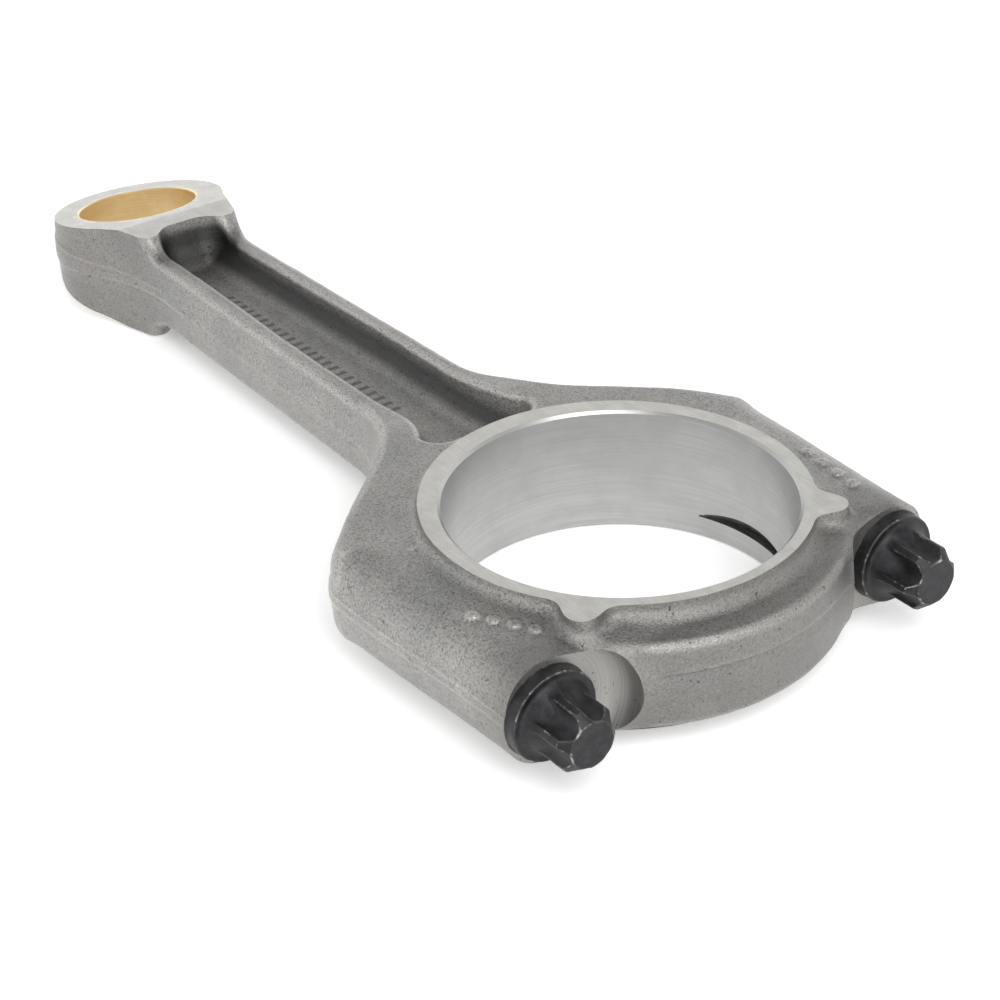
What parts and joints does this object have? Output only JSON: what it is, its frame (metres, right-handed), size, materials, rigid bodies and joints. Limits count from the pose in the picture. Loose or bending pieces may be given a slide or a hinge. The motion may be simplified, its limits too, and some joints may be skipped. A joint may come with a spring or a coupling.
{
  "type": "connecting rod",
  "caption": "Forged connecting rod with a fracture-split big end, flanged cap bolts and a wedge-shaped bushed small end.",
  "frame": {"origin": "centre of the big-end bore, half-way through the big end's width", "axes": "+X along the shank from the big end to the small end, +Z along both bores, +Y across the rod through one cap bolt"},
  "size_m": [0.2216, 0.0902, 0.0234],
  "materials": {
    "forged_steel": "shot-blasted forging, machined on the bores and side faces",
    "bush_bronze": "bored bronze lining",
    "bolt_black": "black oxide, satin"
  },
  "bodies": {
    "rod": {"rod_body": "forged_steel", "small_end_bush": "bush_bronze"},
    "cap": {"bearing_cap": "forged_steel"},
    "left_bolt": {"bolt_left": "bolt_black"},
    "right_bolt": {"bolt_right": "bolt_black"}
  },
  "joints": [
    {"name": "cap_off", "type": "slide", "parent": "rod", "child": "cap", "axis": [-1, 0, 0], "range_m": [0, 0.02]},
    {"name": "left_bolt_out", "type": "slide", "parent": "cap", "child": "left_bolt", "axis": [-1, 0, 0], "range_m": [0, 0.046]},
    {"name": "right_bolt_out", "type": "slide", "parent": "cap", "child": "right_bolt", "axis": [-1, 0, 0], "range_m": [0, 0.046]}
  ]
}
